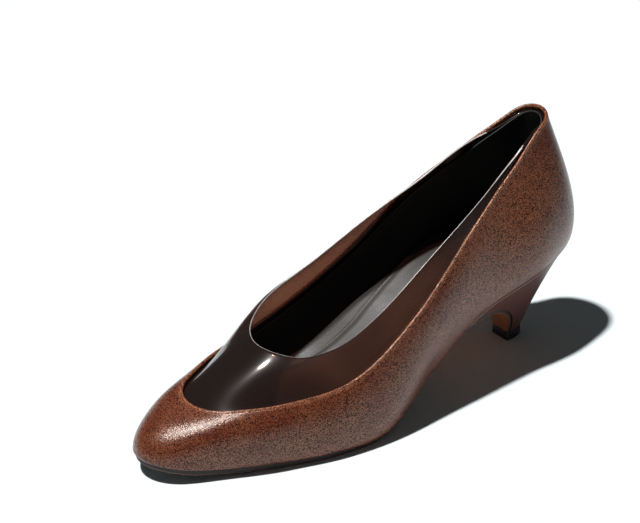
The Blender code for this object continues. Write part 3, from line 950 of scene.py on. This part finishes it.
def make_floor(colours):
    """Seamless studio floor: pale, dull and even in the picture, greyer well outside it where shade is
    painted on in place of a pool of light.
    """
    material, tree, shader, place = new_material("painted_floor")
    away = distance_from(tree, place, FLOOR_MIDDLE)
    # Painted shade: the floor turns grey away from the middle, as outside a pool of light
    painted_shade_share = span(tree, away, 0.0, 1.0, start=FLOOR_PALE, end=FLOOR_GREY, soft=True)
    mottle = noise(tree, place, size=120.0, detail=2.0)
    feed(tree, shader, {
        "Base Color": mix(tree, painted_shade_share, opaque(colours.floor), opaque(colours.floor_painted_shade)),
        "Roughness": span(tree, mottle, 0.75, 0.9), "Specular IOR Level": 0.0,
    })
    return material


def wall_distances(wall, near, last_gap):
    """Distances down the wall for each row: given ones near the edge, then even steps to the sole."""
    total = lengths_down(wall)[0]
    near = np.array(near)
    shares = np.linspace(0, 1, WALL_ROWS + 1)[1:, None]
    far = near[-1] + shares * (total - last_gap - near[-1])[None, :]
    return np.concatenate([np.repeat(near[:, None], wall.shape[1], axis=1), far])


class PUMP_OT_upper(bpy.types.Operator):
    """Build the leather upper with its folded top edge and its stitch groove"""

    bl_idname = "pump.upper"
    bl_label = "Leather upper"

    def execute(self, context):
        sizes = context.scene.pump_sizes
        angles = turn_angles(AROUND)
        wall = wall_rows(angles)
        distances = wall_distances(wall, EDGE_ROWS, SOLE_CORNER)
        outer = below_edge(wall, distances)
        normals = surface_normals(outer)
        lip = sizes.lip_bulge / MM * bump_at(distances, LIP_MIDDLE, LIP_WIDTH)
        groove = sizes.groove_depth / MM * bump_at(distances, sizes.stitch_below / MM, GROOVE_WIDTH)
        shaped = outer + (lip - groove)[:, :, None] * normals
        upward = unit(wall[-1] - wall[-2])
        roll = roll_over(shaped[0], normals[0], upward, LEATHER_WALL, LEATHER_WALL / 2)
        inner = (outer - LEATHER_WALL * normals)[1:-INNER_CORNER_ROWS]
        sole = line_points(SOLE_LINE, angles)
        margin = inset_sole_line(angles, SOLE_CORNER, 0.0)
        under = inset_sole_line(angles, LASTING_MARGIN, 0.0)
        turns = [
            (1 - s) ** 2 * margin + 2 * s * (1 - s) * sole + s * s * shaped[-1] for s in CORNER_TURNS
        ]
        above = inset_sole_line(angles, LASTING_MARGIN, LEATHER_WALL)
        inner_corner = inset_sole_line(
            angles, LEATHER_WALL + INNER_CORNER_INSET, LEATHER_WALL + INNER_CORNER_LIFT,
        )
        section = np.concatenate([
            [under, margin], turns, shaped[::-1], roll[1:-1], inner, [inner_corner, above],
        ])
        bottom_rows = 2 + len(turns)
        outer_below = list(distances.mean(axis=1))
        below = [UNDER_BELOW] * bottom_rows + outer_below[::-1] + [0.0] * (len(roll) - 2)
        below += [INSIDE_BELOW] * (len(inner) + 2)
        bm = wrapped_grid(section, close_rows=True)
        store_distance(bm, below)
        leather = make_pebbled_leather(context.scene.pump_colours)
        upper = add_piece("leather_upper", bm, [leather], sharp_degrees=60.0)
        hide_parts("upper")
        return {"FINISHED"}


class PUMP_OT_stitches(bpy.types.Operator):
    """Sew one row of stitches below the leather's top edge"""

    bl_idname = "pump.stitches"
    bl_label = "Stitches"

    def execute(self, context):
        sizes = context.scene.pump_sizes
        angles = turn_angles(AROUND)
        wall = wall_rows(angles)
        depth = np.full((1, AROUND), sizes.stitch_below / MM)
        line = below_edge(wall, depth)[0]
        outward = surface_normals(wall)[-1]
        line = line - (sizes.groove_depth / MM - THREAD_PROUD) * outward
        closed = np.concatenate([line, line[:1]])
        run = np.r_[0, np.cumsum(np.linalg.norm(np.diff(closed, axis=0), axis=1))]
        count = round(run[-1] * MM / sizes.stitch_pitch)
        half = sizes.stitch_length / MM / 2
        thick = sizes.stitch_thickness / MM / 2
        bm = bmesh.new()
        for k in range(count):
            at = run[-1] * (k + 0.5) / count
            places = (at, (at + STITCH_AIM) % run[-1])
            middle, ahead = np.column_stack([np.interp(places, run, closed[:, axis]) for axis in range(3)])
            turn = Vector(ahead - middle).to_track_quat("X", "Z").to_matrix().to_4x4()
            size = Matrix.Diagonal((half, thick, thick, 1.0))
            bmesh.ops.create_uvsphere(
                bm, u_segments=6, v_segments=5, radius=1.0, matrix=Matrix.Translation(middle) @ turn @ size,
            )
        thread = make_thread(context.scene.pump_colours)
        add_piece("stitches", bm, [thread], sharp_degrees=80.0)
        return {"FINISHED"}


def tuck_share(share, tuck):
    """How far the film has come out from behind the leather, from none to fully."""
    return soft_step((share - tuck.start) / (tuck.end - tuck.start))


class PUMP_OT_vinyl_inset(bpy.types.Operator):
    """Build the see-through inset from behind the leather up to its cut rim"""

    bl_idname = "pump.vinyl_inset"
    bl_label = "See-through inset"

    def execute(self, context):
        angles = turn_angles(AROUND)
        behind = inside(wall_rows(angles), LEATHER_WALL + GAP)
        share = length_share(angles)
        shown = np.where(np.sin(angles) > 0, tuck_share(share, OUTER_TUCK), tuck_share(share, INNER_TUCK))
        depth = TUCK_DEPTH * (1 - shown)
        steps = np.linspace(0, 1, LAP_ROWS + 1)[:-1, None]
        lap_rows = below_edge(behind, FILM_LAP + steps * (depth - FILM_LAP))
        edge, tucked = below_edge(behind, np.array([depth, np.maximum(depth - TUCKED_HEIGHT, 0)]))
        rim_share = share + RIM_SHIFT * np.sin(math.pi * share) ** 2
        rim_angles = np.where(np.sin(angles) < 0, -1, 1) * np.arccos(1 - 2 * rim_share)
        rim = shown[:, None] * line_points(FILM_RIM, rim_angles) + (1 - shown[:, None]) * tucked
        edge_normals = plan_normals(edge)
        rim_normals = plan_normals(rim)
        leave = leaning(edge_normals, bend(angles, "film_lean"), -1)
        arrive = leaning(rim_normals, bend(angles, "rim_lean"), -1)
        chord = rim - edge
        bent = soft_step((share - FILM_STRAIGHT_END) / (FILM_BENT_START - FILM_STRAIGHT_END))[:, None]
        straight = (1 - bent) * FILM_REACH * chord
        low = edge + straight + bent * bend_arm(chord, edge_normals, leave, FILM_REACH)
        high = rim - straight - bent * bend_arm(chord, rim_normals, arrive, FILM_REACH)
        free_rows = bezier((edge, low, high, rim), np.linspace(0, 1, FILM_ROWS + 1))
        outer = np.concatenate([lap_rows, free_rows])
        normals = evened(surface_normals(outer), NORMAL_ROUNDS)
        inner = outer - FILM_WALL * normals
        upward = unit(outer[-1] - outer[-2])
        roll = roll_over(outer[-1], normals[-1], upward, FILM_WALL, FILM_RIM_ROUND)
        section = np.concatenate([outer, roll[1:-1], inner[::-1]])
        bm = wrapped_grid(section, close_rows=True)
        tag = bm.verts.layers.int["row"]
        rim_rows = set(range(len(outer) - 1, len(outer) + len(roll) - 1))
        open_x = FILM_RIM.back + (FILM_RIM.front - FILM_RIM.back) * OUTER_TUCK.end
        for face in bm.faces:
            on_rim = {vert[tag] for vert in face.verts} <= rim_rows
            face.material_index = int(on_rim and face.calc_center_median().x > open_x)
        colours = context.scene.pump_colours
        film = add_piece(
            "vinyl_film", bm, [make_smoked_vinyl(colours), make_vinyl_edge(colours)],
        )
        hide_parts("vinyl_inset")
        return {"FINISHED"}


class PUMP_OT_lining(bpy.types.Operator):
    """Line the inside of the upper with black leather"""

    bl_idname = "pump.lining"
    bl_label = "Lining"

    def execute(self, context):
        sizes = context.scene.pump_sizes
        angles = turn_angles(AROUND)
        share = length_share(angles)
        thickness = sizes.lining_wall / MM
        face = inside(wall_rows(angles), LEATHER_WALL + GAP + FILM_WALL + GAP)
        total = lengths_down(face)[0]
        drop = sizes.lining_drop / MM
        drop_back = sizes.lining_drop_back / MM
        top = drop_back + (drop - drop_back) * np.clip(share / LINING_EASE, 0, 1)
        rise = sock_edge_lift(angles, sizes) - LINING_LAP
        steps = np.linspace(0, 1, LINING_ROWS + 1)[:, None]
        distances = top + steps * (total - rise - top)
        outer = below_edge(face, distances)
        normals = surface_normals(outer)
        upward = unit(outer[0] - outer[1])
        roll = roll_over(outer[0], normals[0], upward, thickness, thickness / 2)
        inner = outer - thickness * normals
        section = np.concatenate([outer[::-1], roll[1:-1], inner])
        bm = wrapped_grid(section, close_rows=True)
        colours = context.scene.pump_colours
        black = make_grained_leather("lining_leather", colours.lining)
        add_piece("lining", bm, [black], sharp_degrees=60.0)
        return {"FINISHED"}


class PUMP_OT_sock(bpy.types.Operator):
    """Lay the black sock on its board, turned up along the inner side"""

    bl_idname = "pump.sock"
    bl_label = "Insole and sock"

    def execute(self, context):
        sizes = context.scene.pump_sizes
        half = np.linspace(SOCK_END_ANGLE, math.pi - SOCK_END_ANGLE, SOCK_ROWS + 1)
        end = np.linspace(-SOCK_END_ANGLE, SOCK_END_ANGLE, SOCK_END_STEPS + 1)[1:-1]
        ring_angles = np.r_[half, math.pi + end, -half[::-1], end]
        lift = sock_edge_lift(ring_angles, sizes)
        inset = INSOLE_INSET + SOCK_CLEARANCE - WALL_FLARE * (lift - SOCK_LEVEL)
        ring = inset_sole_line(ring_angles, inset[:, None], 0.0)
        outer_side = slice(0, len(half))
        inner_side = slice(-len(end) - 1, -len(end) - 1 - len(half), -1)
        outer = ring[outer_side]
        inner = ring[inner_side]
        outer_lift = lift[outer_side]
        inner_lift = lift[inner_side]
        bm = bmesh.new()
        bm.loops.layers.uv.new("UVMap")
        bmesh.ops.create_grid(bm, x_segments=SOCK_COLUMNS, y_segments=SOCK_ROWS, size=0.5, calc_uvs=True)
        for vert in bm.verts:
            across = 1 - (0.5 - vert.co.x) ** SOCK_CROWDING
            row = round((vert.co.y + 0.5) * SOCK_ROWS)
            point = outer[row] * (1 - across) + inner[row] * across
            width = np.linalg.norm(outer[row] - inner[row])
            from_outer = across * width
            from_inner = (1 - across) * width
            climb = (outer_lift[row] - SOCK_LEVEL) * max(0.0, 1 - from_outer / SOCK_BOWL) ** 2
            inner_rise = inner_lift[row] - SOCK_LEVEL
            bowl = (1 - SOCK_TURN_SHARE) * max(0.0, 1 - from_inner / SOCK_BOWL) ** SOCK_BOWL_POWER
            turn = SOCK_TURN_SHARE * max(0.0, 1 - from_inner / SOCK_TURN) ** 2
            climb += inner_rise * (bowl + turn)
            padded = min(1.0, inner_rise / PAD_FULL_RISE)
            groove = np.interp(point[0], column(SOCK_GROOVE, "x"), column(SOCK_GROOVE, "from_edge"))
            depth = np.interp(point[0], column(SOCK_GROOVE, "x"), column(SOCK_GROOVE, "depth"))
            past = from_inner - groove
            pressed = depth * soft_step(past / FOLD_SLOPE) * np.exp(-np.maximum(past, 0.0) / SOCK_FOLD)
            raised = SOCK_PAD * (soft_step(past / PAD_SLOPE) - 1)
            cushion = HEEL_CUSHION * soft_step((CUSHION_FRONT - point[0]) / CUSHION_SLOPE)
            cushion *= soft_step(min(from_outer, from_inner) / CUSHION_SIDE)
            point[2] = seat_height(point[0]) + SOCK_LEVEL + climb + cushion + padded * (raised - pressed)
            vert.co = point
        board = bmesh.ops.extrude_face_region(bm, geom=bm.faces[:], use_keep_orig=True)
        bmesh.ops.translate(bm, verts=new_vertices(board), vec=(0, 0, -INSOLE_THICKNESS))
        colours = context.scene.pump_colours
        leather = make_grained_leather("sock_leather", colours.sock)
        sock = add_piece("sock", bm, [leather])
        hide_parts("insole")
        return {"FINISHED"}


def sole_loop(outer_top, inner_top, outer_low, inner_low):
    """Closed section of the sole: outer edge, rounded corner, underside, rounded corner, inner edge."""
    points = []
    bevel = OUTSOLE_EDGE_BEVEL
    arcs = np.linspace(0, math.pi / 2, SOLE_CORNER_STEPS + 1)
    for top, low, other in ((outer_top, outer_low, inner_low), (inner_top, inner_low, outer_low)):
        up = unit(top - low)
        across = unit(other - low)
        start = low + bevel * up
        side = [top + (start - top) * s for s in np.linspace(0, 1, SOLE_SIDE_STEPS + 1)]
        middle = low + bevel * (up + across)
        arc = [middle - bevel * (math.cos(a) * across + math.sin(a) * up) for a in arcs[1:]]
        points.append(side + arc)
    outer, inner = points
    low_start = outer[-1]
    low_end = inner[-1]
    tread = [low_start + (low_end - low_start) * s for s in np.linspace(0, 1, SOLE_TREAD_STEPS + 1)[1:-1]]
    return np.array(outer + tread + inner[::-1])


def cut_ring(angles, cut_angle):
    """Points of part of the sole line and their outward normals, square to the shoe at its cut."""
    points = line_points(SOLE_LINE, angles)
    normals = plan_normals(points)
    at_cut = np.isclose(np.abs(angles), cut_angle)
    normals[at_cut] = np.array([0, 1, 0]) * np.sign(points[at_cut][:, 1:2])
    return points, normals


def breast_path(clearance):
    """Points down the flap's outer face, seen from the side, and down its back with a clearance."""
    at = np.linspace(0, 1, BREAST_STEPS + 1)
    points = bezier(BREAST, at)
    tangent = unit(np.gradient(points, axis=0))
    normals = np.stack([tangent[:, 1], -tangent[:, 0]], axis=-1)
    thick = np.interp(at, column(FLAP, "at"), column(FLAP, "thick"))[:, None]
    return points, points + normals * (thick + clearance)


def sole_sections():
    """Sections of the outsole from the toe back to the heel and down its front."""
    breast_angle = angle_at(OUTSOLE[0].x)
    angles = turn_angles(SOLE_ANGLES)
    middle = angles[(angles > breast_angle) & (angles < math.pi)][::-1]
    toe_first = np.r_[math.pi - TOE_END_ANGLE, middle, breast_angle]
    points, normals = cut_ring(np.r_[toe_first, -toe_first[::-1]], breast_angle)
    places = column(OUTSOLE, "x")
    inset = np.interp(points[:, 0], places, column(OUTSOLE, "inset"))
    points = points - inset[:, None] * normals
    lower = np.interp(points[:, 0], places, column(OUTSOLE, "lower"))
    top = np.column_stack([points[:, :2], seat_height(points[:, 0]) - GAP])
    low = np.column_stack([points[:, :2], lower])
    loops = [sole_loop(top[k], top[-1 - k], low[k], low[-1 - k]) for k in range(len(toe_first))]
    path, backs = breast_path(0)
    along = np.linspace(0, 1, len(path))
    outer = smooth(column(FLAP, "at"), column(FLAP, "outer"), along)
    inner = -smooth(column(FLAP, "at"), column(FLAP, "inner"), along)
    for k in range(1, len(path)):
        corners = []
        for x, z in (backs[k], path[k]):
            corners.extend([np.array([x, outer[k], z]), np.array([x, inner[k], z])])
        loops.append(sole_loop(*corners))
    return np.array(loops)


class PUMP_OT_outsole(bpy.types.Operator):
    """Build the thin leather sole with its stained edge and its flap down the heel"""

    bl_idname = "pump.outsole"
    bl_label = "Outsole"

    def execute(self, context):
        loops = sole_sections()
        bm = wrapped_grid(loops, close_rows=False)
        count = loops.shape[1]
        uv = bm.loops.layers.uv["UVMap"]
        for face in bm.faces:
            across = round(min(loop[uv].uv.x for loop in face.loops) * count)
            from_side = min(across, count - 2 - across)
            if from_side < SOLE_SIDE_STEPS:
                face.material_index = 0
            elif from_side < SOLE_SIDE_STEPS + SOLE_CORNER_STEPS:
                face.material_index = 1
            else:
                face.material_index = 2
        close_ends(bm)
        colours = context.scene.pump_colours
        finishes = [
            make_grained_leather("stained_sole_edge", colours.sole_edge),
            # The rounded corner gets the paler finish, worn bare and with a painted highlight
            make_grained_leather("bare_sole_corner", colours.sole_corner_worn_and_lit),
            make_sole_leather(colours),
        ]
        sole = add_piece("sole", bm, finishes, sharp_degrees=50.0)
        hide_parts("outsole")
        return {"FINISHED"}


def tip_outline(count):
    """Foot of the heel: back point, outer side to the front, then the inner side back."""
    share = np.linspace(0, 1, count + 1)
    straight_start = TIP_FRONT - TIP_STRAIGHT
    quarter = np.clip(share / TIP_ROUND_SHARE, 0, 1) * math.pi / 2
    forward = np.clip((share - TIP_ROUND_SHARE) / (1 - TIP_ROUND_SHARE), 0, 1)
    x = straight_start - (straight_start - TIP_BACK) * np.cos(quarter) + TIP_STRAIGHT * forward
    y = TIP_HALF_WIDTH * np.sin(quarter)
    outer = np.stack([x, y], axis=-1)
    inner = np.stack([x, -y], axis=-1)
    return np.concatenate([outer, inner[:0:-1]])


def heel_rings():
    """Rings of the heel from its seat under the foot down to its own foot."""
    angles = np.linspace(0, angle_at(SEAT_FRONT), HEEL_SIDE_POINTS + 1)
    rim, normals = cut_ring(np.r_[angles, -angles[:0:-1]], angles[-1])
    seat = rim - HEEL_RIM_INSET * normals
    seat[:, 2] = seat_height(seat[:, 0]) - GAP
    foot = tip_outline(HEEL_SIDE_POINTS)
    foot = np.column_stack([foot, np.full(len(foot), TOP_PIECE_HEIGHT + GAP)])
    hollow = HEEL_BACK_HOLLOW * np.abs(normals[:, :1]) + HEEL_SIDE_HOLLOW * np.abs(normals[:, 1:2])
    rings = []
    for down in np.linspace(0, 1, HEEL_LEVELS + 1):
        rings.append(seat + (foot - seat) * down - 4 * down * (1 - down) * hollow * normals)
    return np.array(rings), normals


def make_breast_cutter():
    """Block in front of the heel whose upper face is the back of the flap."""
    curve = breast_path(GAP)[1]
    outline = [
        (CUTTER_FRONT, CUTTER_BOTTOM), (CUTTER_FRONT, curve[0][1]), *curve, (curve[-1][0], CUTTER_BOTTOM),
    ]
    bm = bmesh.new()
    face = bm.faces.new([bm.verts.new((x, -CUTTER_HALF_WIDTH, z)) for x, z in outline])
    extruded = bmesh.ops.extrude_face_region(bm, geom=[face])
    bmesh.ops.translate(bm, vec=(0, 2 * CUTTER_HALF_WIDTH, 0), verts=new_vertices(extruded))
    finish_mesh(bm)
    return add_mesh_object("breast_cutter", bm)


class PUMP_OT_heel(bpy.types.Operator):
    """Build the leather covered heel and the turned rim of its cover"""

    bl_idname = "pump.heel"
    bl_label = "Heel"

    def execute(self, context):
        sizes = context.scene.pump_sizes
        colours = context.scene.pump_colours
        rings, normals = heel_rings()
        bm = wrapped_grid(rings, close_rows=False)
        close_ends(bm)
        cover = make_grained_leather("heel_cover_leather", colours.heel)
        heel = add_piece("heel_cover", bm, [cover], sharp_degrees=50.0)
        cutter = make_breast_cutter()
        cut = heel.modifiers.new("breast", "BOOLEAN")
        cut.operation = "DIFFERENCE"
        cut.solver = "EXACT"
        cut.object = cutter
        graph = context.evaluated_depsgraph_get()
        shaped = bpy.data.meshes.new_from_object(heel.evaluated_get(graph))
        heel.modifiers.clear()
        heel.data = shaped
        bpy.data.objects.remove(cutter, do_unlink=True)
        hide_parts("heel")

        front = HEEL_SIDE_POINTS
        order = list(range(front + 1, 2 * front + 1)) + list(range(0, front + 1))
        path = rings[0][order]
        outward = normals[order]
        radius = sizes.heel_rim_radius / MM
        up = np.array([0, 0, 1])
        tube = np.array([
            [p + radius * (math.cos(a) * n + (math.sin(a) - RIM_DROP) * up) for a in turn_angles(RIM_SIDES)]
            for p, n in zip(path, outward)
        ])
        bm = wrapped_grid(tube, close_rows=False)
        close_ends(bm)
        # Painted highlight: the turned rim is given a pale colour
        rim_painted_highlight = make_grained_leather("turned_rim_leather", colours.rim)
        add_piece("heel_rim", bm, [rim_painted_highlight], sharp_degrees=70.0)
        return {"FINISHED"}


class PUMP_OT_top_piece(bpy.types.Operator):
    """Build the rubber top piece under the heel"""

    bl_idname = "pump.top_piece"
    bl_label = "Top piece"

    def execute(self, context):
        outline = tip_outline(HEEL_SIDE_POINTS)
        rings = [np.column_stack([outline, np.full(len(outline), z)]) for z in (0.0, TOP_PIECE_HEIGHT)]
        bm = wrapped_grid(np.array(rings), close_rows=False)
        close_ends(bm)
        bmesh.ops.dissolve_limit(bm, angle_limit=FLAT_ANGLE, verts=bm.verts, edges=bm.edges)
        rims = [edge for edge in bm.edges if edge.calc_face_angle(0.0) > RIM_ANGLE]
        bmesh.ops.bevel(
            bm, geom=rims, offset=TOP_PIECE_BEVEL, affect="EDGES", segments=2, profile=0.5, material=-1,
        )
        rubber = make_rubber(context.scene.pump_colours)
        piece = add_piece("rubber_top_piece", bm, [rubber], sharp_degrees=50.0)
        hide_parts("top_piece")
        return {"FINISHED"}


class PUMP_OT_stage(bpy.types.Operator):
    """Set up the floor, the light and the camera"""

    bl_idname = "pump.stage"
    bl_label = "Studio"

    def execute(self, context):
        studio = context.scene.pump_studio
        bm = bmesh.new()
        bmesh.ops.create_grid(bm, x_segments=1, y_segments=1, size=FLOOR_HALF_SIZE)
        floor = add_mesh_object("floor", bm)
        floor.data.materials.append(make_floor(context.scene.pump_colours))

        direction = Vector(studio.key_direction).normalized()
        light = bpy.data.lights.new("key", "SUN")
        light.angle = studio.key_width
        light.energy = studio.key_strength
        key = add_object("key", light)
        key.location = Vector(KEY_TARGET) + direction
        key.rotation_euler = direction.to_track_quat("Z", "Y").to_euler()

        world = bpy.data.worlds.new("studio")
        world.use_nodes = True
        sky = world.node_tree.nodes["Background"]
        sky.inputs["Color"].default_value = opaque(studio.fill_colour)
        sky.inputs["Strength"].default_value = studio.fill
        context.scene.world = world
        context.scene.view_settings.view_transform = "Standard"

        lens = bpy.data.cameras.new("camera")
        lens.lens = studio.lens
        lens.clip_end = CAMERA_REACH
        camera = add_object("camera", lens)
        place = Vector(studio.camera_place)
        aim = Vector(studio.camera_aim)
        level = (aim - place).to_track_quat("-Z", "Y")
        camera.location = place
        camera.rotation_euler = (level @ Quaternion((0, 0, 1), -studio.camera_roll)).to_euler()
        context.scene.camera = camera
        return {"FINISHED"}


class PUMP_PT_sidebar(bpy.types.Panel):
    """Buttons and settings of the pump."""

    bl_idname = "PUMP_PT_sidebar"
    bl_label = "Mid heel pump"
    bl_space_type = "VIEW_3D"
    bl_region_type = "UI"
    bl_category = "Pump"

    def draw(self, context):
        for operator in OPERATORS:
            self.layout.operator(operator.bl_idname)
        for name in ("pump_sizes", "pump_colours", "pump_studio"):
            box = self.layout.box()
            settings = getattr(context.scene, name)
            for key in settings.__annotations__:
                box.prop(settings, key)


OPERATORS = (
    PUMP_OT_upper,
    PUMP_OT_stitches,
    PUMP_OT_vinyl_inset,
    PUMP_OT_lining,
    PUMP_OT_sock,
    PUMP_OT_outsole,
    PUMP_OT_heel,
    PUMP_OT_top_piece,
    PUMP_OT_stage,
)
GROUPS = (PumpSizes, PumpColours, PumpStudio)


def register():
    for kind in (*GROUPS, *OPERATORS, PUMP_PT_sidebar):
        bpy.utils.register_class(kind)
    bpy.types.Scene.pump_sizes = PointerProperty(type=PumpSizes)
    bpy.types.Scene.pump_colours = PointerProperty(type=PumpColours)
    bpy.types.Scene.pump_studio = PointerProperty(type=PumpStudio)


def unregister():
    del bpy.types.Scene.pump_sizes
    del bpy.types.Scene.pump_colours
    del bpy.types.Scene.pump_studio
    for kind in reversed((*GROUPS, *OPERATORS, PUMP_PT_sidebar)):
        bpy.utils.unregister_class(kind)


def main():
    register()
    bpy.ops.pump.upper()
    bpy.ops.pump.stitches()
    bpy.ops.pump.vinyl_inset()
    bpy.ops.pump.lining()
    bpy.ops.pump.sock()
    bpy.ops.pump.outsole()
    bpy.ops.pump.heel()
    bpy.ops.pump.top_piece()
    bpy.ops.pump.stage()


if __name__ == "__main__":
    main()
